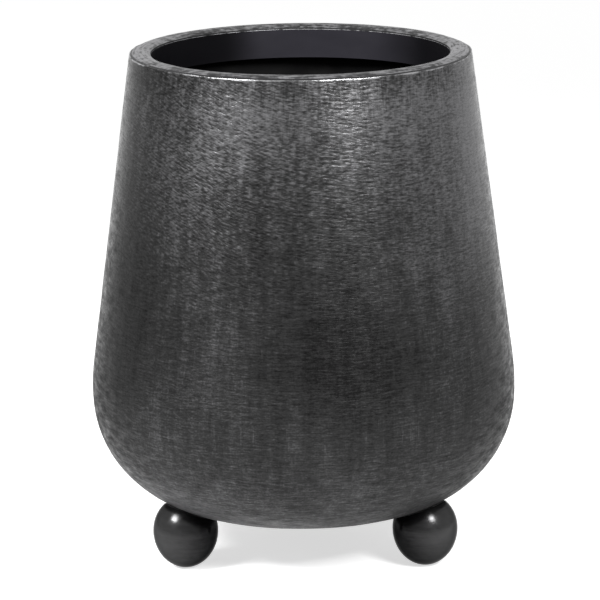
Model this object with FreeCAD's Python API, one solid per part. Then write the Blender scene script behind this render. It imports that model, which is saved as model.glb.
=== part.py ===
import FreeCAD, Part
import math
import os

from FreeCAD import Vector

# Footed planter: a rolled, hammered cone welded to a spun bowl, with a crowned rim ring,
# a dark collar inside the mouth, three ball feet bolted on through the bowl, and a drain plug.
# Millimetres. +Z is up from the floor, the planter's axis is X = Y = 0, and its front faces -Y.

# Shell
GIRTH_RADIUS = 229.0
GIRTH_HEIGHT = 184.0
BELLY_ARC_RADIUS = 219.0
BELLY_ARC_DROP = 3.0  # degrees below the girth at which the heel arc takes over
HEEL_ARC_RADIUS = 125.0
WALL_TAPER = 7.55  # degrees from upright
SHELL_SHEET = 1.6
WALL_EDGE_ROUND = 0.6

# Rim ring and collar
RIM_HEIGHT = 551.0
RIM_CROWN = 3.7
RIM_WIDTH = 22.05
RIM_SHEET = 1.6
WALL_LIP = 0.8  # how far the wall's upper edge stands above the ring's outer edge
COLLAR_DEPTH = 32.9
COLLAR_SHEET = 1.2
COLLAR_SETBACK = 0.6

# Drain
DRAIN_RADIUS = 11.0
PLUG_CLEARANCE = 0.3
PLUG_SHANK = 12.0
PLUG_TAPER = 1.5
PLUG_FLANGE_OVERLAP = 6.0
PLUG_FLANGE = 4.0
PLUG_KNOB_RADIUS = 6.5
PLUG_KNOB = 7.0
PLUG_WAIST_RADIUS = 4.5

# Ball feet
FOOT_PLACES = ("rear", "front_left", "front_right")  # evenly spaced, counter-clockwise from +Y
FOOT_INSET = 80.5  # from the girth to the ball's centre
FOOT_RADIUS = 35.0
FOOT_LOWER_HEIGHT = 40.8
FOOT_UPPER_HEIGHT = 37.4
FOOT_WALL = 2.5
GLIDE_RADIUS = 8.0
GLIDE_FLOOR_RADIUS = 4.5
GLIDE_STEM_RADIUS = 3.5
GLIDE_STEM = 7.0

# Foot fixings, stacked along the axis from the heel arc's centre through the ball's centre
BOLT_RADIUS = 5.0
BOLT_CLEARANCE = 0.5
BOLT_HEAD_WIDTH = 16.0
BOLT_HEAD = 6.4
BOLT_TAIL = 3.0
WASHER_RADIUS = 10.5
WASHER = 2.0
SPREADER_RADIUS = 22.0
SPREADER = 3.0
SPOT_FACE_MARGIN = 0.5
SEALANT = 0.1  # film under the spreader
GASKET = 1.2
GASKET_INSET = 1.0
SEAT_PLATE = 3.0
NUT_WIDTH = 16.0
NUT = 8.0

ORIGIN = Vector(0, 0, 0)
UP = Vector(0, 0, 1)


def polar(radius, angle):
    """A vector in the profile plane, at an angle in radians above level."""
    return Vector(radius * math.cos(angle), 0, radius * math.sin(angle))


TAPER = math.radians(WALL_TAPER)
DROP = math.radians(BELLY_ARC_DROP)
STRAIGHT_DOWN = -math.pi / 2
BELLY_CENTRE = Vector(GIRTH_RADIUS - BELLY_ARC_RADIUS, 0, GIRTH_HEIGHT)
HEEL_CENTRE = BELLY_CENTRE + polar(BELLY_ARC_RADIUS - HEEL_ARC_RADIUS, -DROP)
BASE_HEIGHT = HEEL_CENTRE.z - HEEL_ARC_RADIUS
RIM_EDGE_HEIGHT = RIM_HEIGHT - RIM_CROWN
WALL_TOP = RIM_EDGE_HEIGHT + WALL_LIP

BALL_CENTRE = Vector(GIRTH_RADIUS - FOOT_INSET, 0, FOOT_LOWER_HEIGHT)
FOOT_AXIS = (HEEL_CENTRE - BALL_CENTRE).normalize()

# Distances from the heel arc's centre to the faces of the foot's stack, from the inside outward
SHELL_INSIDE = HEEL_ARC_RADIUS - SHELL_SHEET
SPREADER_UNDERSIDE = SHELL_INSIDE - SEALANT
SPREADER_TOP = SPREADER_UNDERSIDE - SPREADER
WASHER_TOP = SPREADER_TOP - WASHER
HEAD_TOP = WASHER_TOP - BOLT_HEAD
GASKET_UNDERSIDE = HEEL_ARC_RADIUS + GASKET
PLATE_UNDERSIDE = GASKET_UNDERSIDE + SEAT_PLATE
NUT_UNDERSIDE = PLATE_UNDERSIDE + NUT
BOLT_END = NUT_UNDERSIDE + BOLT_TAIL


def arc(centre, radius, start, end):
    """An arc in the profile plane, between two angles in radians above level."""
    points = [centre + polar(radius, angle) for angle in (start, (start + end) / 2, end)]
    return Part.Arc(*points).toShape()


def revolve(edges, axis_point=ORIGIN):
    """The solid that a closed outline in the profile plane sweeps about an upright axis."""
    return Part.Face(Part.Wire(edges)).revolve(axis_point, UP, 360)


def outline(points):
    """The straight edges of a closed outline, from (radius, height) pairs."""
    corners = [Vector(radius, 0, height) for radius, height in points]
    return Part.makePolygon(corners + corners[:1]).Edges


def wall_radius(height, depth=0.0):
    """Radius of the cone at a height, at a depth under its outer face."""
    seam = BELLY_CENTRE + polar(BELLY_ARC_RADIUS - depth, TAPER)
    return seam.x - (height - seam.z) * math.tan(TAPER)


def mouth_radius():
    """Radius of the ring's inner edge."""
    return wall_radius(RIM_EDGE_HEIGHT, SHELL_SHEET) - RIM_WIDTH


def tapered_wall():
    """Rolled cone from the welded girth seam up to the rim."""
    seam_outside = BELLY_CENTRE + polar(BELLY_ARC_RADIUS, TAPER)
    seam_inside = BELLY_CENTRE + polar(BELLY_ARC_RADIUS - SHELL_SHEET, TAPER)
    top_outside = (wall_radius(WALL_TOP), WALL_TOP)
    top_inside = (wall_radius(WALL_TOP, SHELL_SHEET), WALL_TOP)
    seam = [(seam_inside.x, seam_inside.z), (seam_outside.x, seam_outside.z)]
    wall = revolve(outline(seam + [top_outside, top_inside]))
    upper_edges = [
        edge
        for edge in wall.Edges
        if edge.Closed and abs(edge.CenterOfMass.z - WALL_TOP) < SHELL_SHEET / 10
    ]
    return wall.makeFillet(min(WALL_EDGE_ROUND, SHELL_SHEET / 3), upper_edges)


def base_bowl():
    """Spun bowl of even thickness, with the drain hole and a slanted bolt hole for each foot."""
    outside = [
        arc(BELLY_CENTRE, BELLY_ARC_RADIUS, TAPER, -DROP),
        arc(HEEL_CENTRE, HEEL_ARC_RADIUS, -DROP, STRAIGHT_DOWN),
    ]
    inside = [
        arc(HEEL_CENTRE, HEEL_ARC_RADIUS - SHELL_SHEET, STRAIGHT_DOWN, -DROP),
        arc(BELLY_CENTRE, BELLY_ARC_RADIUS - SHELL_SHEET, -DROP, TAPER),
    ]
    floor_edge_low = Vector(DRAIN_RADIUS, 0, BASE_HEIGHT)
    floor_edge_high = floor_edge_low + Vector(0, 0, SHELL_SHEET)
    floor = [
        Part.makeLine(outside[-1].Vertexes[-1].Point, floor_edge_low),
        Part.makeLine(floor_edge_low, floor_edge_high),
        Part.makeLine(floor_edge_high, inside[0].Vertexes[0].Point),
    ]
    seam = Part.makeLine(inside[-1].Vertexes[-1].Point, outside[0].Vertexes[0].Point)
    bowl = revolve(outside + floor + inside + [seam])
    hole = axis_cylinder(BOLT_RADIUS + BOLT_CLEARANCE, SPREADER_TOP, PLATE_UNDERSIDE)
    return bowl.cut([around(hole, angle) for angle in foot_angles()])


def rim_ring():
    """Crowned ring between the wall and the mouth, with its outer end flat against the wall."""
    inner = mouth_radius()
    crest_radius = inner + RIM_WIDTH / 2
    end_slope = 2 * math.atan(2 * RIM_CROWN / RIM_WIDTH)
    end_low = RIM_EDGE_HEIGHT - RIM_SHEET / math.cos(end_slope)
    over = [
        Vector(inner, 0, RIM_EDGE_HEIGHT),
        Vector(crest_radius, 0, RIM_HEIGHT),
        Vector(inner + RIM_WIDTH, 0, RIM_EDGE_HEIGHT),
    ]
    under = [
        Vector(wall_radius(end_low, SHELL_SHEET), 0, end_low),
        Vector(crest_radius, 0, RIM_HEIGHT - RIM_SHEET),
        Vector(inner, 0, end_low),
    ]
    edges = [
        Part.Arc(*over).toShape(),
        Part.makeLine(over[-1], under[0]),
        Part.Arc(*under).toShape(),
        Part.makeLine(under[-1], over[0]),
    ]
    return revolve(edges)


def inner_collar(ring):
    """Upright strip that hangs under the ring's inner edge, trimmed to the ring's underside."""
    inside = mouth_radius() + COLLAR_SETBACK
    outside = inside + COLLAR_SHEET
    low = RIM_EDGE_HEIGHT - COLLAR_DEPTH
    section = [(inside, low), (outside, low), (outside, RIM_HEIGHT), (inside, RIM_HEIGHT)]
    pieces = revolve(outline(section)).cut(ring).Solids
    return min(pieces, key=lambda piece: piece.CenterOfMass.z)


def drain_plug():
    """Rubber stopper: tapered shank in the drain hole, flange under the floor, and a pull knob."""
    shank = DRAIN_RADIUS - PLUG_CLEARANCE
    flange = DRAIN_RADIUS + PLUG_FLANGE_OVERLAP
    flange_low = BASE_HEIGHT - PLUG_FLANGE
    knob_low = flange_low - PLUG_KNOB
    knob_top = flange_low - PLUG_KNOB / 2
    section = [
        (0, knob_low),
        (PLUG_KNOB_RADIUS, knob_low),
        (PLUG_KNOB_RADIUS, knob_top),
        (PLUG_WAIST_RADIUS, flange_low),
        (flange, flange_low),
        (flange, BASE_HEIGHT),
        (shank, BASE_HEIGHT),
        (shank - PLUG_TAPER, BASE_HEIGHT + PLUG_SHANK),
        (0, BASE_HEIGHT + PLUG_SHANK),
    ]
    return revolve(outline(section))


def foot_angles():
    """Where the feet stand around the axis, in degrees from +X."""
    return [90 + 360 * step / len(FOOT_PLACES) for step in range(len(FOOT_PLACES))]


def around(shape, angle):
    """A copy of a shape, turned about the planter's axis by degrees."""
    return shape.rotated(ORIGIN, UP, angle)


def axis_point(distance):
    """The point on the foot's axis at a distance from the heel arc's centre."""
    return HEEL_CENTRE - FOOT_AXIS * distance


def axis_cylinder(radius, start, end):
    """A cylinder along the foot's axis, between two distances from the heel arc's centre."""
    return Part.makeCylinder(radius, end - start, axis_point(start), FOOT_AXIS * -1)


def axis_hexagon(width, start, end):
    """A hexagonal prism along the foot's axis, given its width across flats."""
    corner = width / math.sqrt(3)
    corners = [Vector(corner, 0, 0)]
    for step in range(1, 7):
        turn = math.radians(60 * step)
        corners.append(Vector(corner * math.cos(turn), corner * math.sin(turn), 0))
    prism = Part.Face(Part.makePolygon(corners)).extrude(UP * (end - start))
    prism.Placement = FreeCAD.Placement(axis_point(start), FreeCAD.Rotation(UP, FOOT_AXIS * -1))
    return prism


def heel_dish(radius):
    """Everything inside a surface parallel to the heel of the bowl."""
    low = Vector(0, 0, HEEL_CENTRE.z - radius)
    top = Vector(0, 0, HEEL_CENTRE.z)
    curve = arc(HEEL_CENTRE, radius, 0, STRAIGHT_DOWN)
    edges = [
        curve,
        Part.makeLine(curve.Vertexes[-1].Point, low),
        Part.makeLine(low, top),
        Part.makeLine(top, curve.Vertexes[0].Point),
    ]
    return revolve(edges)


def heel_layer(inner, outer):
    """A sheet that follows the heel of the bowl, between two parallel surfaces."""
    return heel_dish(outer).cut(heel_dish(inner))


def quarter_ellipse(start, corner, end):
    """An exact quarter of an ellipse that touches both legs of a right-angled corner."""
    curve = Part.BezierCurve()
    curve.setPoles([start, corner, end])
    curve.setWeight(2, math.sqrt(0.5))
    return curve.toShape()


def ball(inset=0.0):
    """The foot's ball, a little taller below its middle than above, inset evenly by a depth."""
    radius = FOOT_RADIUS - inset
    low = BALL_CENTRE - UP * (FOOT_LOWER_HEIGHT - inset)
    high = BALL_CENTRE + UP * (FOOT_UPPER_HEIGHT - inset)
    side = BALL_CENTRE + Vector(radius, 0, 0)
    edges = [
        quarter_ellipse(low, Vector(side.x, 0, low.z), side),
        quarter_ellipse(side, Vector(side.x, 0, high.z), high),
        Part.makeLine(high, low),
    ]
    return revolve(edges, BALL_CENTRE)


def glide_height():
    """Height at which the ball's underside is as wide as its glide."""
    return FOOT_LOWER_HEIGHT * (1 - math.sqrt(1 - (GLIDE_RADIUS / FOOT_RADIUS) ** 2))


def floor_cylinder(radius, low, high):
    """An upright cylinder under the ball's centre."""
    return Part.makeCylinder(radius, high - low, Vector(BALL_CENTRE.x, 0, low))


def foot_pieces():
    """The pieces of one foot, in place on the +X side of the planter."""
    bolt_hole = axis_cylinder(BOLT_RADIUS + BOLT_CLEARANCE, HEAD_TOP, NUT_UNDERSIDE)
    glide_top = glide_height()
    stem_top = glide_top + GLIDE_STEM
    shell = ball().cut([
        ball(FOOT_WALL),
        heel_dish(GASKET_UNDERSIDE),
        floor_cylinder(FOOT_RADIUS, 0, glide_top),
        floor_cylinder(GLIDE_STEM_RADIUS, 0, stem_top),
    ])
    gasket = heel_layer(HEEL_ARC_RADIUS, GASKET_UNDERSIDE).common(ball(GASKET_INSET))
    seat_plate = heel_layer(GASKET_UNDERSIDE, PLATE_UNDERSIDE).common(ball(FOOT_WALL))
    nut = axis_hexagon(NUT_WIDTH, GASKET_UNDERSIDE, NUT_UNDERSIDE).cut([
        heel_dish(PLATE_UNDERSIDE),
        axis_cylinder(BOLT_RADIUS, GASKET_UNDERSIDE, NUT_UNDERSIDE),
    ])
    spreader = heel_layer(SPREADER_TOP, SPREADER_UNDERSIDE).common(
        axis_cylinder(SPREADER_RADIUS, HEAD_TOP, HEEL_ARC_RADIUS)
    )
    spot_face = axis_cylinder(WASHER_RADIUS + SPOT_FACE_MARGIN, HEAD_TOP, SPREADER_TOP)
    washer = axis_cylinder(WASHER_RADIUS, WASHER_TOP, SPREADER_TOP)
    bolt = axis_hexagon(BOLT_HEAD_WIDTH, HEAD_TOP, WASHER_TOP).fuse(
        axis_cylinder(BOLT_RADIUS, WASHER_TOP, BOLT_END)
    )
    glide_foot = Vector(BALL_CENTRE.x, 0, 0)
    glide = Part.makeCone(GLIDE_FLOOR_RADIUS, GLIDE_RADIUS, glide_top, glide_foot).fuse(
        floor_cylinder(GLIDE_STEM_RADIUS, glide_top, stem_top)
    )
    return {
        "ball": shell,
        "gasket": gasket.cut(bolt_hole),
        "seat_plate": seat_plate.cut(bolt_hole),
        "weld_nut": nut,
        "spreader": spreader.cut([spot_face, bolt_hole]),
        "washer": washer.cut(bolt_hole),
        "bolt": bolt,
        "glide": glide,
    }


def planter():
    """Every piece by name."""
    ring = rim_ring()
    pieces = {
        "tapered_wall": tapered_wall(),
        "base_bowl": base_bowl(),
        "rim_ring": ring,
        "inner_collar": inner_collar(ring),
        "drain_plug": drain_plug(),
    }
    foot = foot_pieces()
    for place, angle in zip(FOOT_PLACES, foot_angles()):
        for name, shape in foot.items():
            pieces[f"{place}_foot_{name}"] = around(shape, angle)
    return pieces


os.makedirs("parts", exist_ok=True)
for node, piece in planter().items():
    solids = piece.Solids
    print(node, len(solids), "solid", round(piece.Volume), "mm3", "valid" if piece.isValid() else "BROKEN")
    piece.exportStep(f"parts/{node}.step")
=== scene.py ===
"""Footed planter: a hammered steel shell on three ball feet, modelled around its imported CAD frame."""
import math

import bpy
import numpy as np
from mathutils import Matrix, Vector


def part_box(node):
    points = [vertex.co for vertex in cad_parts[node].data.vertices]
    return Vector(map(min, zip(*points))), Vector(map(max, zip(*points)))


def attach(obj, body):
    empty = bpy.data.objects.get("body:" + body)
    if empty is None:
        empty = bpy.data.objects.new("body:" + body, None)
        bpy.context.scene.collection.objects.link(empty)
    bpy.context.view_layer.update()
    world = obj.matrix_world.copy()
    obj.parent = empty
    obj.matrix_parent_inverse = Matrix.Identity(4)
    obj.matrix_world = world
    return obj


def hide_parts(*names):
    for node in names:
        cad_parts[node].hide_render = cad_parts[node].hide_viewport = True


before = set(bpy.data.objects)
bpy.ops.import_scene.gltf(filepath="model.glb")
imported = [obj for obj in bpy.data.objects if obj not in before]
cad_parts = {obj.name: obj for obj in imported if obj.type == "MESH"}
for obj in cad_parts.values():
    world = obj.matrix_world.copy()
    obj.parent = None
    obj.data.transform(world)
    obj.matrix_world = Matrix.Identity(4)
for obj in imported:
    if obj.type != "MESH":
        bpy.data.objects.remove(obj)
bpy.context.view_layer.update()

bl_info = {
    "name": "Footed Planter",
    "version": (1, 0, 0),
    "blender": (4, 5, 0),
    "location": "View3D > Sidebar > Planter",
    "description": "Models the hammered shell, rim, ball feet and fittings of a planter, and its studio",
    "category": "Object",
}

AXIS = Vector((0, 0, 0))
UP = Vector((0, 0, 1))
ACROSS = Vector((0, 1, 0))
TOUCH = 1e-5  # lengths below this count as nothing
MERGE = 1e-6  # corners closer than this become one
SMOOTH_ANGLE = math.radians(40)  # edges sharper than this stay sharp
MIX_FACTOR, MIX_FIRST, MIX_SECOND, MIX_RESULT = 0, 6, 7, 2  # a Mix node's sockets for colours

# Places and lengths are in metres, in the frame of the CAD.
FOOT_ANGLES = {"rear": 90, "front_left": 210, "front_right": 330}  # degrees from +X towards +Y
BOWL_LOW, BOWL_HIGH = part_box("base_bowl")
WALL_LOW, WALL_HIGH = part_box("tapered_wall")
RING_LOW, RING_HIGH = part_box("rim_ring")
PLUG_LOW, PLUG_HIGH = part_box("drain_plug")
BALL_LOW, BALL_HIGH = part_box("rear_foot_ball")
COLLAR_DEPTH = 0.0018  # from the ring's inner edge out to the collar's far side
MOUTH_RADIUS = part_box("inner_collar")[1].x - COLLAR_DEPTH

# Hammering. A lean is in degrees down towards the right.
LIP_FADE = 0.008  # the dents fade out over this height below the lip
BASE_FADE = 0.003  # and over this height above the flat floor
DENT_HEIGHTS, DENT_SHARES = (0.2, 0.45), (0.5, 1)  # the dents get deeper up the wall
LEAN, STRIP_LEAN = 5, 5  # lean of all rows, and how far it varies from strip to strip
LEFT_LEAN, LEFT_ANGLE, LEFT_START = 16, math.radians(128), 0.2  # more lean high up on the left
RIGHT_LEAN, RIGHT_ANGLE, RIGHT_END = 12, math.radians(45), 0.6  # less lean low down on the right
LEAN_FADE = 0.12  # height over which these two leans come in
SWAY, SWAY_PITCH, SWAY_SHIFT = 0.25, 0.005, 40  # how the rows waver, and differently in each strip
ROWS, SEAM_ROW = 400, 200  # rows of dents in a strip, and the one at the seam
DENTS, MIDDLE_DENT = 16, 8  # dents in a row, and the one in the middle of the strip
WEAK, FULL = 0.5, 1  # how hard the blows are
SEED = 11

# Faces along and round the pieces that have no size of their own for them.
FLOOR_ROWS, HEEL_INSIDE_ROWS, BELLY_INSIDE_ROWS = 12, 12, 6
RIM_ROWS, RIM_UNDER_ROWS, RIM_COLUMNS = 28, 14, 360
BALL_ROWS, BALL_COLUMNS = 64, 96
DISH_ROWS, DISH_COLUMNS = 48, 360
BOLT_COLUMNS, PLUG_COLUMNS = 64, 96

# Small shapes.
LIP_IN, LIP_UP = 0.3, 0.7  # the middle point of the lip's rounding, as shares of its radius
DISH_START, DISH_END = math.radians(-105), math.radians(-25)  # arc of the heel that cuts the balls
HEAD_SHARES = 0.46, 0.7, 0.12  # a bolt head's flat top, its reach and its chamfer, over its width
BOLT_TIP = 0.001  # chamfer at a bolt's end
KNOB_RADIUS, KNOB_HEIGHT, NECK_RADIUS, FLANGE_THICKNESS = 0.0065, 0.0035, 0.0045, 0.004  # plug
SHANK_PLAY, SHANK_TAPER = 0.0003, 0.0015  # plug in its drain
PLUG_ROUND, PLUG_ROUND_STEPS = 0.0008, 4

# Colour of metal at grazing angles, which keeps the outlines from shining white.
GUNMETAL_EDGE = (0.45, 0.45, 0.45, 1.0)
STEEL_EDGE = (0.76, 0.76, 0.76, 1.0)
# Spots of painted light and shade on the steel: centre, distances between which the tone changes, and by
# how much.
PAINTED_LIGHT_AND_SHADE_SPOTS = (
    ((0.055, -0.22, 0.268), 0.02, 0.125, 0.55),  # painted shade under the middle
    ((0.02, -0.2, 0.42), 0.04, 0.14, 0.24),  # painted shade above it, a duller patch over the highlight
    ((-0.068, -0.17, 0.505), 0.075, 0.02, 0.18),  # painted highlight under the lip
    ((-0.02, -0.11, 0.06), 0.09, 0.02, 0.55),  # painted light along the heel
    ((0.112, -0.165, 0.322), 0.085, 0.02, 0.22),  # painted light on the right
)

# Studio. A softbox has degrees right of the front, degrees up, distance, side and power in watts.
FLOOR_SIDE = 30
SOFTBOXES = {
    "left_softbox": (-52, 33, 2.3, 0.85, 9.3),
    "right_softbox": (30, 28, 2.3, 0.68, 6.4),
}
SOFTBOX_AIM = Vector((0, 0, 0.52))
SOFTBOX_SPREAD = math.radians(45)
WHITE = (1, 1, 1, 1)


def number(name, default, description, **limits):
    """A number that a user can change."""
    return bpy.props.FloatProperty(name=name, description=description, default=default, **limits)


def length(name, default, description):
    """A size in metres that a user can change."""
    return number(name, default, description, min=0.0, precision=5, unit="LENGTH")


def turn(name, degrees, description):
    """An angle that a user can change."""
    return number(name, math.radians(degrees), description, subtype="ANGLE")


def colour(name, default, description):
    """A linear colour that a user can change."""
    return bpy.props.FloatVectorProperty(
        name=name, description=description, default=default, size=3, min=0.0, max=1.0, subtype="COLOR"
    )


def count(name, default, description):
    """A whole number that a user can change."""
    return bpy.props.IntProperty(name=name, description=description, default=default, min=3)


class PlanterSizes(bpy.types.PropertyGroup):
    """Sizes of the planter's pieces."""

    girth_radius: length("Girth radius", BOWL_HIGH.x, "Widest radius of the shell")
    girth_height: length("Girth height", 0.184, "Height of the widest place")
    belly_radius: length("Belly arc", 0.219, "Radius of the profile round the girth")
    heel_radius: length("Heel arc", 0.125, "Radius of the profile under the belly")
    belly_drop: turn("Belly drop", 3.0, "Angle below the girth at which the heel arc takes over")
    wall_taper: turn("Wall taper", 7.55, "Slope of the cone from upright")
    sheet: length("Sheet", 0.0016, "Thickness of the shell")
    lip_round: length("Lip round", 0.0006, "Rounding of the wall's upper edge")
    drain_radius: length("Drain radius", 0.011, "Radius of the hole in the floor")
    columns: count("Columns", 324, "Faces round the shell")
    wall_rows: count("Wall rows", 298, "Rows of faces up the wall")
    belly_rows: count("Belly rows", 36, "Rows of faces round the girth")
    heel_rows: count("Heel rows", 168, "Rows of faces under the belly")
    strips: count("Hammer strips", 108, "Upright strips that the hammer worked down")
    dent_length: length("Dent length", 0.008, "Length of a hammer dent, round the shell")
    dent_pitch: length("Dent pitch", 0.0038, "Distance from dent to dent, up the shell")
    dent_depth: length("Dent depth", 0.00038, "Depth of a hammer dent")
    wave_length: length("Wave length", 0.05, "Size of the shell's broad unevenness")
    wave_depth: length("Wave depth", 0.0006, "Depth of the shell's broad unevenness")
    lip_wave: length("Lip wave", 0.0014, "Unevenness of the wall's upper edge")
    rim_width: length("Rim width", 0.02205, "Width of the crowned ring")
    rim_crown: length("Rim crown", 0.0037, "Height of the ring's crest over its edges")
    rim_sheet: length("Rim sheet", 0.0016, "Thickness of the ring")
    foot_circle: length("Foot circle", 0.1485, "Distance of the feet from the planter's axis")
    foot_radius: length("Foot radius", (BALL_HIGH.x - BALL_LOW.x) / 2, "Radius of a ball foot")
    foot_lower: length("Foot lower height", 0.0408, "Height of a ball's middle over the floor")
    foot_upper: length("Foot upper height", 0.0374, "Height of a ball over its middle, before it is cut")
    foot_wall: length("Foot wall", 0.0025, "Thickness of a ball's wall")
    gasket: length("Gasket", 0.0012, "Gap between bowl and ball that the gasket fills")
    bolt_radius: length("Bolt radius", 0.005, "Radius of a foot bolt's shank")
    bolt_head_width: length("Bolt head width", 0.016, "Width of a bolt's head across its flats")
    bolt_head: length("Bolt head", 0.0064, "Height of a bolt's head")
    bolt_length: length("Bolt length", 0.0219, "Length of a bolt's shank")
    bolt_seat: length("Bolt seat", 0.1183, "Distance of the washer's top from the heel arc's centre")


class PlanterColours(bpy.types.PropertyGroup):
    """Colours of the planter's finishes."""

    steel_dark: colour("Patina", (0.008, 0.008, 0.008), "Hammered steel in its dents")
    steel_mid: colour("Steel", (0.031, 0.031, 0.0312), "Hammered steel")
    # Worn steel also shows where the painted light lifts the hammered steel's tone, and bare steel,
    # doubled, is the painted reflection on the lip's sides.
    steel_light: colour("Worn steel", (0.15, 0.1493, 0.154), "Hammered steel on its worn ridges")
    steel_bright: colour("Bare steel", (0.22, 0.22, 0.225), "Steel rubbed bare along the lip")
    rim_dark: colour("Rim patina", (0.024, 0.024, 0.025), "Rim ring where it is dull")
    rim_light: colour("Rim", (0.2, 0.199, 0.205), "Rim ring where it is worn")
    rim_rubbed: colour("Rubbed rim", (0.3, 0.3, 0.31), "Lower edge of the ring at the mouth")
    # The inside colour is black paint darkened as painted shade of the hollow.
    inside: colour("Inside", (0.0028, 0.0028, 0.003), "Paint inside the shell")
    dust: colour("Dust", (0.2, 0.195, 0.185), "Dust low down inside the shell")
    # Collar: black paint darkened as painted shade; six times as light, it is the painted sheen on the
    # collar's back.
    collar: colour("Collar", (0.0024, 0.0023, 0.0029), "Satin paint of the collar")
    # Gunmetal is also the painted shade on the side of the balls toward the planter's middle, worn
    # gunmetal the painted light on their outer side.
    ball: colour("Gunmetal", (0.007, 0.007, 0.0073), "Polished ball feet, in the shade of the bowl")
    ball_painted_light: colour("Worn gunmetal", (0.046, 0.046, 0.0465), "Polished ball feet, on their outer side")
    zinc: colour("Zinc", (0.42, 0.42, 0.43), "Plated plates, nuts, washers and bolts")
    rubber: colour("Rubber", (0.012, 0.012, 0.012), "Plug and gaskets")
    nylon: colour("Nylon", (0.02, 0.02, 0.021), "Floor glides")
    floor: colour("Floor", (0.8, 0.8, 0.8), "Studio floor")


class PlanterStudio(bpy.types.PropertyGroup):
    """Camera and light of the studio."""

    aim_height: length("Aim height", 0.2757, "Height that the camera looks at")
    aim_side: number("Aim side", -0.0032, "How far the camera looks past the axis", unit="LENGTH")
    distance: length("Distance", 4.104, "Distance of the camera from what it looks at")
    elevation: turn("Elevation", 13.1, "Angle of the camera above level")
    roll: turn("Roll", -0.6, "Turn of the camera about its line of sight")
    focal_length: number("Focal length", 228.0, "Lens of the camera", unit="CAMERA")
    ambient: number("Ambient", 0.5, "Strength of the light from all round", min=0.0)
    floor_glow: number("Floor glow", 0.6, "White that the floor shows over its own light", min=0.0)


class Value:
    """A node's output that can stand in a formula: an operation on it adds a Math node."""

    def __init__(self, nodes, socket):
        self.nodes = nodes
        self.socket = socket

    def formula(self, operation, *terms):
        """A Math node with that operation on these values or numbers."""
        return self.nodes.add("ShaderNodeMath", {"operation": operation}, dict(enumerate(terms)))

    def __add__(self, other):
        return self.formula("ADD", self, other)

    def __radd__(self, other):
        return self.formula("ADD", other, self)

    def __sub__(self, other):
        return self.formula("SUBTRACT", self, other)

    def __rsub__(self, other):
        return self.formula("SUBTRACT", other, self)

    def __mul__(self, other):
        return self.formula("MULTIPLY", self, other)

    def __rmul__(self, other):
        return self.formula("MULTIPLY", other, self)

    def step(self, low, high):
        """0 before low, 1 past high, and smooth between them. It falls where low is above high."""
        ends = {"Value": self, "From Min": low, "From Max": high}
        return self.nodes.add("ShaderNodeMapRange", {"interpolation_type": "SMOOTHSTEP"}, ends)

    def swing(self, size):
        """Noise from 0 to 1 as a change of that size, as often down as up."""
        return (self - 0.5) * size


class Nodes:
    """A node tree to which nodes are added by type, settings and socket values."""

    def __init__(self, tree):
        self.tree = tree
        tree.nodes.clear()

    def add(self, kind, settings=None, inputs=None, output=0):
        """A node of that type, with its settings and with values or links in its sockets."""
        node = self.tree.nodes.new(kind)
        for name, setting in (settings or {}).items():
            setattr(node, name, setting)
        for name, value in (inputs or {}).items():
            socket = node.inputs[name]
            if isinstance(value, Value):
                self.tree.links.new(value.socket, socket)
            else:
                socket.default_value = value
        return Value(self, node.outputs[output]) if node.outputs else None

    def mix(self, factor, first, second):
        """A blend of two colours."""
        inputs = {MIX_FACTOR: factor, MIX_FIRST: opaque(first), MIX_SECOND: opaque(second)}
        return self.add("ShaderNodeMix", {"data_type": "RGBA"}, inputs, output=MIX_RESULT)


def opaque(value):
    """A colour with full alpha, or a link as it is."""
    return value if isinstance(value, Value) else (*value, 1.0)


def scaled(shade, factor):
    """A colour times a factor."""
    return [factor * part for part in shade]


class Finish(Nodes):
    """A new material, with patterns on its piece's own coordinates."""

    def __init__(self, name):
        self.material = bpy.data.materials.new(name)
        self.material.use_nodes = True
        super().__init__(self.material.node_tree)
        self.place = self.add("ShaderNodeTexCoord", output="Object")

    def axes(self):
        """The three coordinates of a place."""
        parts = self.add("ShaderNodeSeparateXYZ", inputs={"Vector": self.place}).socket.node
        return [Value(self, socket) for socket in parts.outputs]

    def distance(self, point):
        """The distance of a place from a point."""
        ends = {0: self.place, 1: point}
        return self.add("ShaderNodeVectorMath", {"operation": "DISTANCE"}, ends, output="Value")

    def radius(self):
        """The distance of a place from the planter's axis."""
        x, y, _ = self.axes()
        squared = x * x + y * y
        return squared.formula("SQRT", squared)

    def noise(self, across, up, detail=2.0, roughness=0.5, offset=0.0, place=None):
        """Cloudy noise from 0 to 1 whose cells have that size in metres across and up."""
        mapping = {"Vector": place or self.place, "Location": (offset,) * 3}
        mapping["Scale"] = (1 / across, 1 / across, 1 / up)
        stretched = self.add("ShaderNodeMapping", inputs=mapping)
        inputs = {"Vector": stretched, "Scale": 1.0, "Detail": detail, "Roughness": roughness}
        return self.add("ShaderNodeTexNoise", inputs=inputs)

    def bump(self, relief, depth, strength=1.0):
        """A normal that is bent as by a relief of that depth."""
        inputs = {"Height": relief, "Distance": depth, "Strength": strength}
        return self.add("ShaderNodeBump", inputs=inputs)

    def surface(self, **inputs):
        """Ends the material in a Principled shader with these inputs."""
        named = {}
        for name, value in inputs.items():
            named[name.replace("_", " ").title().replace("Ior", "IOR")] = value
        shader = self.add("ShaderNodeBsdfPrincipled", inputs=named)
        self.add("ShaderNodeOutputMaterial", inputs={"Surface": shader})
        return self.material


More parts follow.
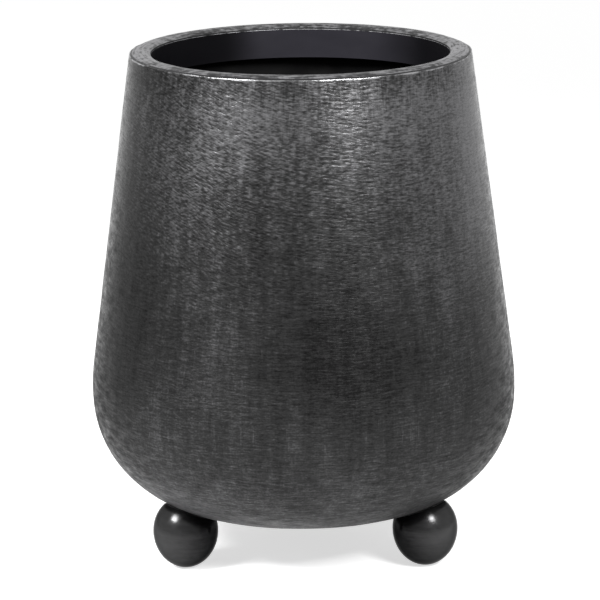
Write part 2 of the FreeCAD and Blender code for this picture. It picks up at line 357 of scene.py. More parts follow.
def hammered_steel(colours):
    """Aged graphite steel: light ridges, dark dents, upright streaks, and brush marks under the lip."""
    finish = Finish("hammered_steel")
    side, depth, height = finish.axes()
    off_middle = side * side
    ridge = finish.add("ShaderNodeAttribute", {"attribute_name": "ridge"}, output="Fac")
    worn = finish.add("ShaderNodeAttribute", {"attribute_name": "worn"}, output="Fac")

    # Clouds, upright streaks and lines, and hammer strokes that slant, most of all on the left.
    cloud = finish.noise(0.08, 0.12, detail=3.0)
    streak = finish.noise(0.016, 0.3, detail=4.0, roughness=0.65)
    upright = finish.noise(0.0045, 0.12, detail=3.0, roughness=0.6, offset=5.0)
    lifted = height + side * (0.12 + 0.22 * side.step(0.05, -0.15)) * height.step(0.25, 0.42)
    slanted = finish.add("ShaderNodeCombineXYZ", inputs={"X": side, "Y": depth, "Z": lifted})
    grain = finish.noise(0.006, 0.0015, place=slanted)
    brush = finish.noise(0.0025, 0.05, detail=3.0, roughness=0.6)

    # Rubs: fine hairs, specks, level scratches, chips along the lip and smoother patches.
    hair = finish.noise(0.0014, 0.05, offset=7.0).step(0.62, 0.76)
    speck = finish.noise(0.0022, 0.0016, offset=3.0)
    scratch = finish.noise(0.016, 0.0018, detail=3.0, offset=11.0)
    chips = finish.noise(0.03, 0.01, detail=4.0, roughness=0.65)
    patches = finish.noise(0.02, 0.007, detail=4.0, roughness=0.65, offset=13.0)

    # The broad tone is painted light and shade: painted light up the wall, round the heel and on the
    # right, painted shade on the left flank.
    # Painted light up the wall, taken back just under the lip.
    patina = height.step(0.33, 0.56) * 0.52 - height.step(0.505, 0.54) * 0.32
    # Painted light round the heel, most on the left.
    heel = height.step(0.16, 0.075) * (0.07 + side.step(0.08, -0.2) * 0.45)
    # Painted light on the right and painted shade on the left, high up; the other way round, weakly, low
    # down.
    painted_side_light_and_shade = side * (height.step(0.25, 0.45) * 1.5 - 0.25)
    # Painted shade on the left flank.
    painted_left_shade = side.step(-0.14, -0.21) * height.step(0.4, 0.3) * height.step(0.15, 0.27) * 0.6
    # Painted light on the right.
    painted_right_light = side.step(0.12, 0.2) * height.step(0.2, 0.4) * 0.42
    shade = patina + heel + painted_side_light_and_shade - painted_left_shade + painted_right_light - 0.3
    # Spots of painted light and shade.
    for centre, first, last, change in PAINTED_LIGHT_AND_SHADE_SPOTS:
        shade = shade + finish.distance(centre).step(first, last) * change
    shade = shade + cloud.swing(0.6) + streak.swing(0.8) + upright.swing(0.5)

    # The fine tone: strokes where the hammering is fresh, high on the front, and rubs elsewhere.
    fresh = height.step(0.22, 0.46) * (1 - off_middle.step(0.01, 0.03) * 0.5)
    fresh = fresh * (1 + 0.22 * side.step(0.0, -0.08) - 0.3 * side.step(0.04, 0.13))
    marks = (ridge.step(0.2, 1.0) - 0.4) * (0.08 + 0.52 * fresh)
    rubs = speck.swing(0.9 - 0.3 * fresh) + scratch.swing(1.1 - 0.8 * fresh) + hair * 0.3
    fine = marks + grain.swing(0.75 + 1.05 * fresh) + rubs
    lip_brush = brush.swing(1.4) * height.step(0.46, 0.545)
    tone = shade + fine + lip_brush
    # These blends carry the painted light and shade of the broad tone into the colour.
    body = finish.mix(tone.step(-0.4, 0.7), colours.steel_dark, colours.steel_mid)
    body = finish.mix(tone.step(0.4, 1.9), body, colours.steel_light)

    # The lip is rubbed bare in places, and brighter towards its sides as a painted reflection.
    bare = (worn + chips.swing(1.1)).step(0.82, 1.05)
    painted_side_sheen = off_middle.step(0.006, 0.025)
    lip = finish.mix(painted_side_sheen, colours.steel_bright, scaled(colours.steel_bright, 2.2))
    body = finish.mix(bare, body, lip)

    # Smooth on the ridges and high on the sides, rough round the heel, and patchy.
    edges = off_middle.step(0.016, 0.034)
    rough = 0.42 - 0.1 * ridge + grain.swing(0.12)
    rough = rough + height.step(0.26, 0.12) * 0.2 - height.step(0.36, 0.5) * 0.06
    rough = rough + patches.swing(0.35 + 0.45 * edges + 0.45 * height.step(0.25, 0.15))
    rough = rough - height.step(0.26, 0.42) * edges * 0.08
    rough = rough - height.step(0.19, 0.13) * side.step(0.14, 0.2) * 0.1
    return finish.surface(
        base_color=body, metallic=0.95, roughness=rough, specular_tint=STEEL_EDGE,
        normal=finish.bump(grain, 0.0005, 0.42),
    )


def inside_paint(colours):
    """Matt black paint inside the shell, darkened to the shade of the hollow as painted shade, a little
    dusty.
    """
    finish = Finish("inside_paint")
    height = finish.axes()[2]
    dust = finish.noise(0.03, 0.06, detail=4.0)
    settled = dust.step(0.4, 0.8) * 0.03 + height.step(0.44, 0.08) * (0.45 + 0.4 * dust)
    body = finish.mix(settled, colours.inside, colours.dust)
    brush = finish.noise(0.004, 0.001)
    return finish.surface(
        base_color=body, roughness=0.6 + dust.swing(0.2), specular_ior_level=0.05,
        coat_weight=height.step(0.45, 0.2) * (0.5 + 0.4 * dust), coat_roughness=0.35,
        normal=finish.bump(brush, 0.0001),
    )


def worn_steel(colours):
    """Brushed rim steel, dull in patches, with lines round the ring and a rubbed edge at the mouth."""
    finish = Finish("worn_steel")
    x, y, z = finish.axes()
    radius = finish.radius()
    turned = x.formula("ARCTAN2", x, 0 - y)

    # Lines that are fine across the ring and long round it.
    round_ring = finish.add("ShaderNodeCombineXYZ", inputs={"X": radius * 450, "Y": turned * 7})
    line = finish.add("ShaderNodeTexNoise", inputs={"Vector": round_ring, "Scale": 1.0, "Detail": 4.0})
    cloud = finish.noise(0.01, 0.01, detail=5.0, roughness=0.65)
    # Painted sheen on the ring's left and right ends.
    ends = (x * x).step(0.012, 0.03) * 0.3
    tone = line.swing(2.2) + cloud.swing(2.2) + ends + 0.4
    body = finish.mix(tone.step(0.1, 0.9), colours.rim_dark, colours.rim_light)

    # The inner edge and the seam at the wall are dark, and the edge is rubbed bright at its foot.
    mouth = 1 - radius.step(MOUTH_RADIUS + 0.0003, MOUTH_RADIUS + 0.0012)
    seam = radius.step(RING_HIGH.x - 0.0028, RING_HIGH.x - 0.0016) * cloud.step(0.3, 0.45)
    body = finish.mix(mouth, finish.mix(seam, body, colours.rim_dark), colours.rim_dark)
    rubbed = mouth * (1 - z.step(RING_LOW.z + 0.0004, RING_LOW.z + 0.0009)) * cloud.step(0.35, 0.55)
    body = finish.mix(rubbed, body, colours.rim_rubbed)
    return finish.surface(
        base_color=body, metallic=0.9, roughness=0.5 + cloud.swing(0.2),
        normal=finish.bump(line, 0.0003, 0.6),
    )


def satin_black(colours):
    """Satin black paint of the collar, darkened as painted shade, with faint brush lines and a painted
    sheen on its back.
    """
    finish = Finish("satin_black")
    brush = finish.noise(0.03, 0.002, detail=3.0)
    mottle = finish.noise(0.06, 0.03, detail=3.0)
    side, depth, _ = finish.axes()
    # Painted sheen on the back of the collar, from just left of the middle to the right, where light
    # from the front falls.
    rubbed = depth.step(0.08, 0.155) * side.step(-0.085, -0.035) * (0.5 + 0.6 * mottle)
    body = finish.mix(rubbed, colours.collar, scaled(colours.collar, 6))
    return finish.surface(
        base_color=body, roughness=0.4 + mottle.swing(0.2), specular_ior_level=0.08,
        normal=finish.bump(brush, 0.0001, 0.5),
    )


def polished_gunmetal(colours):
    """Dark polished steel with faint turning lines, blacker on the side toward the planter's middle as
    painted shade, and lighter on the outer side as painted light.
    """
    finish = Finish("polished_gunmetal")
    # Painted light on the outer side of each ball and painted shade on its inner side.
    outward = finish.radius().step(BALL_LOW.y + 0.028, BALL_HIGH.y + 0.008)
    turning = finish.noise(0.03, 0.0015)
    mottle = finish.noise(0.008, 0.004, detail=4.0, roughness=0.6)
    tone = outward + mottle.swing(0.5) + turning.swing(0.3)
    body = finish.mix(tone, colours.ball, colours.ball_painted_light)
    relief = turning * 0.5 + mottle * 0.6
    return finish.surface(
        base_color=body, metallic=0.9, roughness=0.22 + mottle.swing(0.2),
        specular_tint=GUNMETAL_EDGE, normal=finish.bump(relief, 0.0002, 0.4),
    )


def patchy(finish, patch, edges, first, second, rough, change, depth, metallic=0.0):
    """Ends a plain finish in two colours by a patch noise, which also bends and roughens it."""
    return finish.surface(
        base_color=finish.mix(patch.step(*edges), first, second), metallic=metallic,
        roughness=rough + patch.swing(change), normal=finish.bump(patch, depth),
    )


def zinc_plate(colours):
    """Plated steel with a faint cloudy bloom."""
    finish = Finish("zinc_plate")
    bloom = finish.noise(0.004, 0.004, detail=4.0, roughness=0.6)
    dull = scaled(colours.zinc, 0.7)
    return patchy(finish, bloom, (0.3, 0.8), dull, colours.zinc, 0.32, 0.3, 0.00005, metallic=1.0)


def black_rubber(colours):
    """Matt moulded rubber, dusty in patches."""
    finish = Finish("black_rubber")
    dust = finish.noise(0.006, 0.006, detail=4.0)
    dusty = scaled(colours.rubber, 2.2)
    return patchy(finish, dust, (0.4, 0.8), colours.rubber, dusty, 0.75, 0.2, 0.0001)


def black_nylon(colours):
    """Moulded nylon, scuffed by the floor."""
    finish = Finish("black_nylon")
    scuff = finish.noise(0.002, 0.002, detail=4.0)
    scuffed = scaled(colours.nylon, 2.5)
    return patchy(finish, scuff, (0.45, 0.8), colours.nylon, scuffed, 0.5, 0.3, 0.00005)


def studio_floor(colours, glow):
    """A pale floor that shows white and keeps its shadow."""
    finish = Finish("studio_floor")
    speck = finish.noise(0.02, 0.02, detail=3.0)
    body = finish.mix(speck, colours.floor, scaled(colours.floor, 0.97))
    plain = finish.add("ShaderNodeBsdfDiffuse", inputs={"Color": body})
    white = finish.add("ShaderNodeEmission", inputs={"Strength": glow})
    shown = finish.add("ShaderNodeAddShader", inputs={0: plain, 1: white})
    finish.add("ShaderNodeOutputMaterial", inputs={"Surface": by_sight(finish, plain, shown)})
    return finish.material


def by_sight(nodes, light, seen):
    """One shader as the light on surfaces, and another to the camera, in mirrors and through glass."""
    path = nodes.add("ShaderNodeLightPath").socket.node
    camera, glossy, through = (
        Value(nodes, path.outputs[name])
        for name in ("Is Camera Ray", "Is Glossy Ray", "Is Transmission Ray")
    )
    direct = camera.formula("MAXIMUM", camera.formula("MAXIMUM", camera, glossy), through)
    return nodes.add("ShaderNodeMixShader", inputs={"Fac": direct, 1: light, 2: seen})


def take(piece):
    """Makes a piece the active one, and the only one selected."""
    bpy.ops.object.select_all(action="DESELECT")
    piece.select_set(True)
    bpy.context.view_layer.objects.active = piece


def start_line(name, point):
    """A new piece in edit mode that holds one selected vertex, the start of a drawn profile."""
    bpy.ops.object.select_all(action="DESELECT")
    bpy.ops.mesh.primitive_plane_add(location=AXIS)
    piece = bpy.context.object
    piece.name = piece.data.name = name
    bpy.ops.object.mode_set(mode="EDIT")
    bpy.ops.mesh.merge(type="CENTER")
    bpy.ops.transform.translate(value=point)
    return piece


def draw_line(start, end, steps=1):
    """Extrudes the selected vertex from one profile point to another, in equal steps."""
    for _ in range(steps):
        bpy.ops.mesh.extrude_region_move(TRANSFORM_OT_translate={"value": (end - start) / steps})


def draw_section(name, section):
    """A new piece in edit mode, drawn from point to point of a section of radius and height."""
    points = [Vector((radius, 0, height)) for radius, height in section]
    piece = start_line(name, points[0])
    for start, end in zip(points, points[1:]):
        draw_line(start, end)
    return piece


def draw_arc(centre, angle, steps):
    """Spins the selected vertex about a centre in the profile plane, from +X towards +Z."""
    bpy.ops.mesh.spin(steps=steps, angle=angle, center=centre, axis=ACROSS)


def spin_round(piece, steps):
    """Turns the drawn profile about the planter's axis, faces outward, and leaves edit mode."""
    bpy.ops.object.mode_set(mode="OBJECT")
    apply(piece, "SCREW", angle=math.tau, steps=steps, render_steps=steps, use_merge_vertices=True)
    bpy.ops.object.mode_set(mode="EDIT")
    bpy.ops.mesh.select_all(action="SELECT")
    bpy.ops.mesh.remove_doubles(threshold=MERGE)
    bpy.ops.mesh.normals_make_consistent(inside=False)
    bpy.ops.object.mode_set(mode="OBJECT")


def polar(radius, angle):
    """A vector in the profile plane, at an angle above level."""
    return Vector((radius * math.cos(angle), 0, radius * math.sin(angle)))


def places(piece):
    """The piece's vertices as rows of X, Y and Z."""
    flat = np.empty(len(piece.data.vertices) * 3, np.float32)
    piece.data.vertices.foreach_get("co", flat)
    return flat.reshape(-1, 3)


def select_vertices(piece, chosen, open_edges=False):
    """Selects the vertices in edit mode whose places pass a test, or those of them on open edges."""
    bpy.ops.mesh.select_mode(type="VERT")
    bpy.ops.mesh.select_all(action="SELECT")
    if open_edges:
        bpy.ops.mesh.select_non_manifold(
            extend=False, use_wire=False, use_multi_face=False, use_non_contiguous=False
        )
    bpy.ops.object.mode_set(mode="OBJECT")
    picked = np.empty(len(piece.data.vertices), bool)
    piece.data.vertices.foreach_get("select", picked)
    picked &= chosen(places(piece))
    if not picked.any():
        raise RuntimeError(f"{piece.name} has no vertices where some should be selected")
    for part in (piece.data.edges, piece.data.polygons):
        part.foreach_set("select", np.zeros(len(part), bool))
    piece.data.vertices.foreach_set("select", picked)
    bpy.ops.object.mode_set(mode="EDIT")


def apply(piece, kind, name="shape", **settings):
    """Adds a modifier to a piece in object mode and applies it."""
    modifier = piece.modifiers.new(name, kind)
    for setting, value in settings.items():
        setattr(modifier, setting, value)
    bpy.ops.object.modifier_apply(modifier=modifier.name)
    if not piece.data.vertices:
        raise RuntimeError(f"{kind} left nothing of {piece.name}")


def cut(piece, operation, body):
    """Joins or trims a piece with another body, which then goes."""
    take(piece)
    apply(piece, "BOOLEAN", operation=operation, solver="EXACT", object=body)
    bpy.data.objects.remove(body)


def profile_centres(sizes):
    """Centres of the shell's belly arc and heel arc in the profile plane."""
    belly = Vector((sizes.girth_radius - sizes.belly_radius, 0, sizes.girth_height))
    heel = belly + polar(sizes.belly_radius - sizes.heel_radius, -sizes.belly_drop)
    return belly, heel


def cone_point(sizes, height, depth=0.0):
    """The point of the cone's profile at a height, at a depth under its outer face."""
    seam = profile_centres(sizes)[0] + polar(sizes.belly_radius - depth, sizes.wall_taper)
    return Vector((seam.x - (height - seam.z) * math.tan(sizes.wall_taper), 0, height))


def press(piece, depth, group, texture=None, direction="NORMAL"):
    """Presses a skin in by a depth times its group's weights, or times a texture as well."""
    apply(
        piece, "DISPLACE", texture=texture, texture_coords="LOCAL", direction=direction,
        mid_level=1.0 if texture else 0.0, strength=depth if texture else -depth, vertex_group=group,
    )


def weigh(piece, name, weights):
    """A vertex group with a weight for each vertex of a piece."""
    group = piece.vertex_groups.new(name=name)
    for vertex, weight in enumerate(weights):
        group.add([vertex], float(weight), "REPLACE")


def note(piece, name, values):
    """Keeps a number for each vertex of a piece, for its finish to read."""
    attribute = piece.data.attributes.new(name, "FLOAT", "POINT")
    attribute.data.foreach_set("value", values.astype(np.float32))


def clouds(size):
    """A cloudy texture with cells of that size."""
    texture = bpy.data.textures.new("clouds", "CLOUDS")
    texture.noise_scale = size
    return texture


def climb(spots, sizes):
    """How far up the shell's profile each place is from the seam, below it less than 0."""
    belly, heel = profile_centres(sizes)
    radius = np.hypot(spots[:, 0], spots[:, 1])
    belly_angle = np.arctan2(spots[:, 2] - belly.z, radius - belly.x)
    heel_angle = np.arctan2(spots[:, 2] - heel.z, radius - heel.x)
    on_cone = (spots[:, 2] - WALL_LOW.z) / math.cos(sizes.wall_taper)
    on_belly = (belly_angle - sizes.wall_taper) * sizes.belly_radius
    heel_start = -(sizes.belly_drop + sizes.wall_taper) * sizes.belly_radius
    on_heel = heel_start + (heel_angle + sizes.belly_drop) * sizes.heel_radius
    below = np.where(belly_angle > -sizes.belly_drop, on_belly, on_heel)
    return np.where(spots[:, 2] > WALL_LOW.z, on_cone, below)


def hammer_marks(spots, sizes):
    """How deep the hammer went at each place, 0 to 1: long dents in slanting rows, strip by strip."""
    angle = np.arctan2(spots[:, 1], spots[:, 0])
    width = math.tau / sizes.strips
    strip = np.floor((angle + math.pi / sizes.columns) / width).astype(int) % sizes.strips
    across = ((angle / width) % 1 - 0.5) * width * np.hypot(spots[:, 0], spots[:, 1])
    up = climb(spots, sizes)
    chance = np.random.default_rng(SEED)
    lean = chance.uniform(-STRIP_LEAN, STRIP_LEAN, sizes.strips)[strip]
    left = np.cos(angle + LEFT_ANGLE).clip(0) ** 2 * np.clip(up / LEAN_FADE + LEFT_START, 0, 1)
    right = np.cos(angle + RIGHT_ANGLE).clip(0) ** 2 * np.clip(RIGHT_END - up / LEAN_FADE, 0, 1)
    slope = np.tan(np.radians(lean + LEAN + LEFT_LEAN * left - RIGHT_LEAN * right))
    start = chance.uniform(0, 1, sizes.strips)[strip]
    sway = SWAY * np.sin(across / sizes.dent_length + up / SWAY_PITCH + SWAY_SHIFT * start)
    rows = (up + slope * across) / sizes.dent_pitch + start + sway + SEAM_ROW
    row = np.floor(rows).astype(int)
    shift = chance.uniform(0, 1, (sizes.strips, ROWS))[strip, row]
    dents = across / sizes.dent_length + shift + MIDDLE_DENT
    dent = np.floor(dents).astype(int)
    force = chance.uniform(WEAK, FULL, (sizes.strips, ROWS, DENTS))[strip, row, dent]
    return force * (1 - (2 * (rows - row) - 1) ** 2) * (1 - (2 * (dents - dent) - 1) ** 4)


def hammer(piece, sizes):
    """Presses waves and dents into a skin, notes where its ridges are, and goes to edit mode."""
    spots = places(piece)
    marks = hammer_marks(spots, sizes)
    lip = np.clip(1 - (WALL_HIGH.z - spots[:, 2]) / LIP_FADE, 0, 1)
    shell = np.clip((spots[:, 2] - BOWL_LOW.z) / BASE_FADE, 0, 1)
    share = np.interp(spots[:, 2], DENT_HEIGHTS, DENT_SHARES)
    weigh(piece, "shell", shell)
    weigh(piece, "dents", marks * share * (1 - lip) * shell)
    weigh(piece, "lip", lip)
    note(piece, "ridge", 1 - marks)
    note(piece, "worn", lip)
    press(piece, sizes.wave_depth, "shell", clouds(sizes.wave_length))
    press(piece, sizes.dent_depth, "dents")
    press(piece, sizes.lip_wave, "lip", clouds(sizes.wave_length / 2), "Z")
    piece.vertex_groups.clear()
    bpy.ops.object.mode_set(mode="EDIT")


def extrude_ring(rise, factor):
    """Extrudes the selected ring upward and scales the new ring about the planter's axis."""
    bpy.ops.mesh.extrude_region_move(TRANSFORM_OT_translate={"value": (0, 0, rise)})
    bpy.ops.transform.resize(value=(factor, factor, 1), center_override=AXIS)


def extrude_along(points):
    """Extrudes the selected ring from the first of these profile points through all the others."""
    for start, end in zip(points, points[1:]):
        extrude_ring(end.z - start.z, end.x / start.x)


def close_seam(piece, is_seam):
    """Bridges the two rings at a skin's seam, so that the sheet is closed, and leaves edit mode."""
    select_vertices(piece, is_seam, open_edges=True)
    bpy.ops.mesh.bridge_edge_loops()
    bpy.ops.mesh.select_all(action="SELECT")
    bpy.ops.mesh.normals_make_consistent(inside=False)
    bpy.ops.object.mode_set(mode="OBJECT")


def wear(piece, body, slot, *materials):
    """Finishes a piece: its materials, its smooth shading and its body. The slot is not used."""
    for material in materials:
        piece.data.materials.append(material)
    take(piece)
    bpy.ops.object.shade_smooth_by_angle(angle=SMOOTH_ANGLE)
    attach(piece, body)


def paint_shell(piece, colours):
    """Finishes a piece of the shell, with paint on the faces that look at its middle."""
    wear(piece, "planter", "hammered_steel", hammered_steel(colours), inside_paint(colours))
    middle = Vector((0, 0, WALL_LOW.z))
    for face in piece.data.polygons:
        face.material_index = int(face.normal.dot(face.center - middle) < 0)


def set_round(piece, name):
    """Copies of a piece that stands on the +X side, one at each foot, each with its own mesh."""
    copies = {}
    for place, angle in FOOT_ANGLES.items():
        take(piece)
        bpy.ops.object.duplicate(linked=False)
        copy = bpy.context.object
        copy.name = copy.data.name = f"{place}_{name}"
        # With no window, the operator turns the other way.
        bpy.ops.transform.rotate(value=-math.radians(angle), orient_axis="Z", center_override=AXIS)
        bpy.ops.object.transform_apply()
        copies[place] = copy
    bpy.data.objects.remove(piece)
    return copies


def foot_axis(sizes):
    """The centre of the +X foot's ball, and the direction from the heel arc's centre to it."""
    ball = Vector((sizes.foot_circle, 0, sizes.foot_lower))
    return ball, (ball - profile_centres(sizes)[1]).normalized()


class PLANTER_OT_wall(bpy.types.Operator):
    """Models the hammered cone, with its worn lip and its plain inside"""

    bl_idname = "planter.wall"
    bl_label = "Hammered wall"

    def execute(self, context):
        sizes = context.scene.planter_sizes
        belly = profile_centres(sizes)[0]
        low = belly + polar(sizes.belly_radius, sizes.wall_taper)
        inner_low = belly + polar(sizes.belly_radius - sizes.sheet, sizes.wall_taper)
        high = cone_point(sizes, WALL_HIGH.z - sizes.lip_round)
        row = (high.z - low.z) / sizes.wall_rows
        piece = start_line("hammered_wall", low)
        draw_line(low, high, sizes.wall_rows)
        spin_round(piece, sizes.columns)
        hammer(piece, sizes)
        select_vertices(piece, lambda spots: spots[:, 2] > low.z + row, open_edges=True)
        edge = sizes.lip_round
        inner_high = high - Vector((sizes.sheet, 0, 0))
        extrude_along([
            high,
            high + Vector((-LIP_IN * edge, 0, LIP_UP * edge)),
            high + Vector((-edge, 0, edge)),
            inner_high + Vector((edge, 0, edge)),
            inner_high + Vector((LIP_IN * edge, 0, LIP_UP * edge)),
            inner_high,
            inner_low,
        ])
        close_seam(piece, lambda spots: spots[:, 2] < low.z + row)
        paint_shell(piece, context.scene.planter_colours)
        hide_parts("tapered_wall")
        return {"FINISHED"}


class PLANTER_OT_bowl(bpy.types.Operator):
    """Models the hammered bowl, from the seam round belly and heel to the drain"""

    bl_idname = "planter.bowl"
    bl_label = "Hammered bowl"

    def execute(self, context):
        sizes = context.scene.planter_sizes
        belly, heel = profile_centres(sizes)
        seam = belly + polar(sizes.belly_radius, sizes.wall_taper)
        belly_turn = sizes.wall_taper + sizes.belly_drop
        heel_turn = math.pi / 2 - sizes.belly_drop
        floor = heel + polar(sizes.heel_radius, -math.pi / 2)
        drain = Vector((sizes.drain_radius, 0, floor.z))
        piece = start_line("hammered_bowl", seam)
        draw_arc(belly, -belly_turn, sizes.belly_rows)
        draw_arc(heel, -heel_turn, sizes.heel_rows)
        draw_line(floor, drain, FLOOR_ROWS)
        spin_round(piece, sizes.columns)
        hammer(piece, sizes)
        select_vertices(piece, lambda spots: spots[:, 2] < heel.z, open_edges=True)
        inside = [drain, drain + UP * sizes.sheet]
        for row in range(HEEL_INSIDE_ROWS + 1):
            angle = heel_turn * row / HEEL_INSIDE_ROWS - math.pi / 2
            inside.append(heel + polar(sizes.heel_radius - sizes.sheet, angle))
        for row in range(1, BELLY_INSIDE_ROWS + 1):
            angle = belly_turn * row / BELLY_INSIDE_ROWS - sizes.belly_drop
            inside.append(belly + polar(sizes.belly_radius - sizes.sheet, angle))
        extrude_along(inside)
        close_seam(piece, lambda spots: spots[:, 2] > heel.z)
        paint_shell(piece, context.scene.planter_colours)
        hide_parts("base_bowl")
        return {"FINISHED"}


class PLANTER_OT_rim(bpy.types.Operator):
    """Models the crowned ring between the wall and the mouth"""

    bl_idname = "planter.rim"
    bl_label = "Rim ring"

    def execute(self, context):
        sizes = context.scene.planter_sizes
        half = sizes.rim_width / 2
        crest = Vector((RING_HIGH.x - half, 0, RING_HIGH.z))
        slope = 2 * math.atan(sizes.rim_crown / half)
        under_crown = sizes.rim_crown - sizes.rim_sheet + sizes.rim_sheet / math.cos(slope)
        under_slope = 2 * math.atan(under_crown / half)
        outer = crest + Vector((half, 0, -sizes.rim_crown))
        inner = crest + Vector((-half, 0, -sizes.rim_crown))
        inner_low = crest + Vector((-half, 0, -sizes.rim_sheet - under_crown))
        piece = start_line("rim", outer)
        draw_arc(crest - UP * (half / math.sin(slope)), 2 * slope, RIM_ROWS)
        draw_line(inner, inner_low)
        under_centre = crest - UP * (sizes.rim_sheet + half / math.sin(under_slope))
        draw_arc(under_centre, -2 * under_slope, RIM_UNDER_ROWS)
        draw_line(inner_low + Vector((2 * half, 0, 0)), outer)
        spin_round(piece, RIM_COLUMNS)
        press(piece, sizes.wave_depth / 2, "", clouds(sizes.wave_length / 2))
        wear(piece, "planter", "worn_steel", worn_steel(context.scene.planter_colours))
        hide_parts("rim_ring")
        return {"FINISHED"}


class PLANTER_OT_balls(bpy.types.Operator):
    """Models a hollow ball foot, cut to the heel's curve, and sets one at each place"""

    bl_idname = "planter.balls"
    bl_label = "Ball feet"

    def execute(self, context):
        sizes = context.scene.planter_sizes
        centre = foot_axis(sizes)[0]
        dish = self.heel_dish(sizes)
        bpy.ops.object.select_all(action="DESELECT")
        bpy.ops.mesh.primitive_uv_sphere_add(
            segments=BALL_COLUMNS, ring_count=BALL_ROWS, radius=sizes.foot_radius, location=centre
        )
        piece = context.object
        bpy.ops.object.transform_apply()
        bpy.ops.object.mode_set(mode="EDIT")
        self.stretch(piece, centre, sizes.foot_lower / sizes.foot_radius, -1)
        self.stretch(piece, centre, sizes.foot_upper / sizes.foot_radius, 1)
        bpy.ops.mesh.select_all(action="SELECT")
        bpy.ops.mesh.bisect(plane_co=(0, 0, BALL_LOW.z), plane_no=UP, clear_inner=True, use_fill=True)
        bpy.ops.object.mode_set(mode="OBJECT")
        apply(piece, "SOLIDIFY", thickness=sizes.foot_wall, offset=-1)
        cut(piece, "DIFFERENCE", dish)
        material = polished_gunmetal(context.scene.planter_colours)
        for place, ball in set_round(piece, "ball").items():
            wear(ball, "planter", "gunmetal_gloss", material)
            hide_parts(f"{place}_foot_ball")
        return {"FINISHED"}

    def stretch(self, piece, centre, factor, side):
        """Scales the half of the ball above or below its middle upward or downward."""
        select_vertices(piece, lambda spots: (spots[:, 2] - centre.z) * side > TOUCH)
        bpy.ops.transform.resize(value=(1, 1, factor), center_override=centre)

    def heel_dish(self, sizes):
        """The heel of the bowl with its gasket, as a round body to cut with."""
        heel = profile_centres(sizes)[1]
        reach = sizes.heel_radius + sizes.gasket
        first = heel + polar(reach, DISH_START)
        last = heel + polar(reach, DISH_END)
        dish = start_line("heel_dish", first)
        draw_arc(heel, DISH_END - DISH_START, DISH_ROWS)
        draw_line(last, heel)
        draw_line(heel, first)
        spin_round(dish, DISH_COLUMNS)
        return dish


class PLANTER_OT_bolts(bpy.types.Operator):
    """Models a hexagon bolt with a chamfered head, and sets one in each foot's axis"""

    bl_idname = "planter.bolts"
    bl_label = "Foot bolts"

    def execute(self, context):
        sizes = context.scene.planter_sizes
        head, width = sizes.bolt_head, sizes.bolt_head_width
        bpy.ops.object.select_all(action="DESELECT")
        bpy.ops.mesh.primitive_cylinder_add(
            vertices=6, radius=width / math.sqrt(3), depth=head, location=(0, 0, head / 2)
        )
        piece = context.object
        bpy.ops.object.transform_apply()
        top, reach, chamfer = (share * width for share in HEAD_SHARES)
        cut(piece, "INTERSECT", self.turned("chamfer", [
            (0, 0), (top, 0), (reach, chamfer), (reach, head - chamfer), (top, head), (0, head),
        ]))
        shank, end = sizes.bolt_radius, -sizes.bolt_length
        cut(piece, "UNION", self.turned("shank", [
            (0, head / 2), (shank, head / 2), (shank, end + BOLT_TIP),
            (shank - BOLT_TIP, end), (0, end),
        ]))
        self.set_in_axis(piece, sizes)
        material = zinc_plate(context.scene.planter_colours)
        for place, bolt in set_round(piece, "bolt").items():
            wear(bolt, "planter", "zinc_steel", material)
            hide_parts(f"{place}_foot_bolt")
        return {"FINISHED"}

    def turned(self, name, section):
        """A round body with that section of radius and height."""
        body = draw_section(name, section)
        spin_round(body, BOLT_COLUMNS)
        return body

    def set_in_axis(self, piece, sizes):
        """Leans an upright bolt into the axis of the +X foot, with its head on the washer."""
        direction = foot_axis(sizes)[1]
        seat = profile_centres(sizes)[1] + direction * sizes.bolt_seat
        piece.rotation_euler = UP.rotation_difference(-direction).to_euler()
        piece.location = seat
        bpy.ops.object.transform_apply()


class PLANTER_OT_plug(bpy.types.Operator):
    """Models the rubber drain plug, with rounded edges"""

    bl_idname = "planter.plug"
    bl_label = "Drain plug"

    def execute(self, context):
        piece = draw_section("plug", self.section(context.scene.planter_sizes))
        select_vertices(piece, lambda spots: spots[:, 0] > TOUCH)
        bpy.ops.mesh.bevel(affect="VERTICES", offset=PLUG_ROUND, segments=PLUG_ROUND_STEPS)
        spin_round(piece, PLUG_COLUMNS)
        wear(piece, "plug", "black_rubber", black_rubber(context.scene.planter_colours))
        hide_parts("drain_plug")
        return {"FINISHED"}

    def section(self, sizes):
        """Radius and height of the plug's corners, from the knob up."""
        flange_low = BOWL_LOW.z - FLANGE_THICKNESS
        shank = sizes.drain_radius - SHANK_PLAY
        return [
            (0, PLUG_LOW.z),
            (KNOB_RADIUS, PLUG_LOW.z),
            (KNOB_RADIUS, PLUG_LOW.z + KNOB_HEIGHT),
            (NECK_RADIUS, flange_low),
            (PLUG_HIGH.x, flange_low),
            (PLUG_HIGH.x, BOWL_LOW.z),
            (shank, BOWL_LOW.z),
            (shank - SHANK_TAPER, PLUG_HIGH.z),
            (0, PLUG_HIGH.z),
        ]


class PLANTER_OT_fittings(bpy.types.Operator):
    """Finishes the collar and the small parts that keep their CAD shape"""

    bl_idname = "planter.fittings"
    bl_label = "Collar and fittings"

    def execute(self, context):
        colours = context.scene.planter_colours
        zinc = zinc_plate(colours)
        finishes = {
            "inner_collar": satin_black(colours),
            "gasket": black_rubber(colours),
            "glide": black_nylon(colours),
            "seat_plate": zinc,
            "weld_nut": zinc,
            "spreader": zinc,
            "washer": zinc,
        }
        for ending, finish in finishes.items():
            nodes = [node for name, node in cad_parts.items() if name.endswith(ending)]
            if not nodes:
                raise RuntimeError(f"the frame has no {ending}")
            for node in nodes:
                node.material_slots[0].link = "OBJECT"
                node.material_slots[0].material = finish
        return {"FINISHED"}


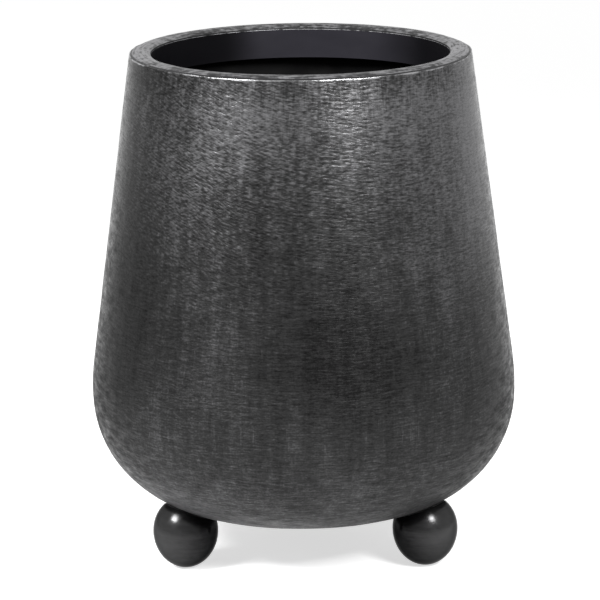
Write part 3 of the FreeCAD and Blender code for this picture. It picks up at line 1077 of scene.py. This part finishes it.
class PLANTER_OT_stage(bpy.types.Operator):
    """Sets up the floor, the white surround, the lamps and the camera"""

    bl_idname = "planter.stage"
    bl_label = "Studio"

    def execute(self, context):
        studio = context.scene.planter_studio
        colours = context.scene.planter_colours
        bpy.ops.object.select_all(action="DESELECT")
        bpy.ops.mesh.primitive_plane_add(size=FLOOR_SIDE, location=AXIS)
        floor = context.object
        floor.name = "floor"
        floor.data.materials.append(studio_floor(colours, studio.floor_glow))
        self.surround(context.scene, studio)
        for name, light in SOFTBOXES.items():
            self.lamp(name, *light)
        self.camera(context.scene, studio)
        context.scene.view_settings.view_transform = "Standard"
        return {"FINISHED"}

    def surround(self, scene, studio):
        """White to the eye and in reflections, and a soft even light on everything else."""
        scene.world = bpy.data.worlds.new("studio")
        scene.world.use_nodes = True
        nodes = Nodes(scene.world.node_tree)
        light = nodes.add("ShaderNodeBackground", inputs={"Color": WHITE, "Strength": studio.ambient})
        white = nodes.add("ShaderNodeBackground", inputs={"Color": WHITE, "Strength": 1.0})
        nodes.add("ShaderNodeOutputWorld", inputs={"Surface": by_sight(nodes, light, white)})

    def lamp(self, name, azimuth, elevation, distance, side, power):
        """A square soft box that faces the planter from that many degrees right of its front and up."""
        turned = math.radians(azimuth)
        level = polar(distance, math.radians(elevation))
        out = Vector((level.x * math.sin(turned), -level.x * math.cos(turned), level.z))
        bpy.ops.object.light_add(type="AREA", location=SOFTBOX_AIM + out)
        lamp = bpy.context.object
        lamp.name = name
        lamp.data.shape = "SQUARE"
        lamp.data.size = side
        lamp.data.energy = power
        lamp.data.spread = SOFTBOX_SPREAD
        lamp.rotation_euler = (-out).to_track_quat("-Z", "Y").to_euler()

    def camera(self, scene, studio):
        """The camera at the photograph's angle."""
        aim = Vector((studio.aim_side, 0, studio.aim_height))
        back = Vector((0, -math.cos(studio.elevation), math.sin(studio.elevation)))
        bpy.ops.object.camera_add(location=aim + studio.distance * back)
        camera = bpy.context.object
        camera.data.lens = studio.focal_length
        level = (-back).to_track_quat("-Z", "Y").to_matrix()
        camera.rotation_euler = (level @ Matrix.Rotation(studio.roll, 3, "Z")).to_euler()
        scene.camera = camera


class PLANTER_PT_sidebar(bpy.types.Panel):
    """The planter's pieces, sizes and colours"""

    bl_idname = "PLANTER_PT_sidebar"
    bl_label = "Footed planter"
    bl_space_type = "VIEW_3D"
    bl_region_type = "UI"
    bl_category = "Planter"

    def draw(self, context):
        for piece in OPERATORS:
            self.layout.operator(piece.bl_idname)
        for group in ("planter_sizes", "planter_colours", "planter_studio"):
            column = self.layout.column()
            settings = getattr(context.scene, group)
            for name in settings.__annotations__:
                column.prop(settings, name)


OPERATORS = (
    PLANTER_OT_wall,
    PLANTER_OT_bowl,
    PLANTER_OT_rim,
    PLANTER_OT_balls,
    PLANTER_OT_bolts,
    PLANTER_OT_plug,
    PLANTER_OT_fittings,
    PLANTER_OT_stage,
)
CLASSES = (PlanterSizes, PlanterColours, PlanterStudio, *OPERATORS, PLANTER_PT_sidebar)


def register():
    for made in CLASSES:
        bpy.utils.register_class(made)
    bpy.types.Scene.planter_sizes = bpy.props.PointerProperty(type=PlanterSizes)
    bpy.types.Scene.planter_colours = bpy.props.PointerProperty(type=PlanterColours)
    bpy.types.Scene.planter_studio = bpy.props.PointerProperty(type=PlanterStudio)


def unregister():
    del bpy.types.Scene.planter_studio
    del bpy.types.Scene.planter_colours
    del bpy.types.Scene.planter_sizes
    for made in reversed(CLASSES):
        bpy.utils.unregister_class(made)


def main():
    register()
    bpy.ops.planter.wall()
    bpy.ops.planter.bowl()
    bpy.ops.planter.rim()
    bpy.ops.planter.balls()
    bpy.ops.planter.bolts()
    bpy.ops.planter.plug()
    bpy.ops.planter.fittings()
    bpy.ops.planter.stage()


if __name__ == "__main__":
    main()
